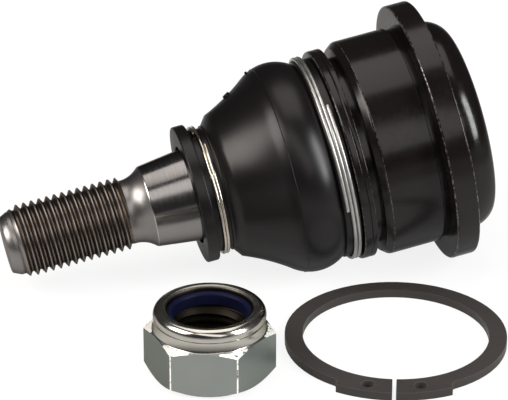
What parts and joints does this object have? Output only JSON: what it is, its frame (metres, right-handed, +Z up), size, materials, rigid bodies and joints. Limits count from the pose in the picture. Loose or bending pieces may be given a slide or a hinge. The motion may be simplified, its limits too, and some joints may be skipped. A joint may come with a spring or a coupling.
{
  "type": "suspension ball joint",
  "caption": "Press-in suspension ball joint with tapered threaded stud, rubber dust boot held by wire rings, flanged housing, lock nut and retaining circlip.",
  "frame": {"origin": "centre of the ball, on the axis of the press-fit diameter", "axes": "+Z up from the surface the parts lie on, -X and slightly down along the stud, -Y towards the loose nut and circlip"},
  "size_m": [0.0945, 0.0835, 0.0499],
  "materials": {
    "housing": "satin black coating on turned steel",
    "ball_stud": "ground and polished steel",
    "upper_bearing": "natural white moulded plastic",
    "pressure_pad": "natural white moulded plastic",
    "preload_spring": "dark tempered spring steel",
    "closing_plate": "satin black coating on steel",
    "dust_boot": "satin black moulded rubber",
    "boot_clamp_ring": "matt drawn spring wire",
    "boot_lip_ring": "bright drawn spring wire",
    "nut_body": "bright zinc plate",
    "nut_insert": "dark blue nylon",
    "circlip": "dark phosphated spring steel"
  },
  "bodies": {
    "joint_housing": {"housing": "housing", "upper_bearing": "upper_bearing", "preload_spring": "preload_spring", "closing_plate": "closing_plate", "dust_boot": "dust_boot", "boot_clamp_ring": "boot_clamp_ring"},
    "swing_seat": {"pressure_pad": "pressure_pad"},
    "boot_lip": {"boot_lip_ring": "boot_lip_ring"},
    "stud": {"ball_stud": "ball_stud"},
    "lock_nut": {"nut_body": "nut_body", "nut_insert": "nut_insert"},
    "retaining_ring": {"circlip": "circlip"}
  },
  "joints": [
    {"name": "swing_direction", "type": "hinge", "parent": "joint_housing", "child": "swing_seat", "pos_m": [0, 0, 0], "axis": [0.9833, 0, 0.1817], "continuous": true},
    {"name": "stud_tilt", "type": "hinge", "parent": "swing_seat", "child": "boot_lip", "pos_m": [0, 0, 0], "axis": [0, 1, 0], "range_deg": [-20, 20], "deforming": ["dust_boot"]},
    {"name": "stud_spin", "type": "hinge", "parent": "boot_lip", "child": "stud", "pos_m": [0, 0, 0], "axis": [0.9833, 0, 0.1817], "continuous": true},
    {"name": "nut_pick_up", "type": "slide", "parent": "joint_housing", "child": "lock_nut", "axis": [0, -0.7071, 0.7071], "range_m": [0, 0.06]},
    {"name": "circlip_pick_up", "type": "slide", "parent": "joint_housing", "child": "retaining_ring", "axis": [0, -0.7071, 0.7071], "range_m": [0, 0.06]}
  ]
}
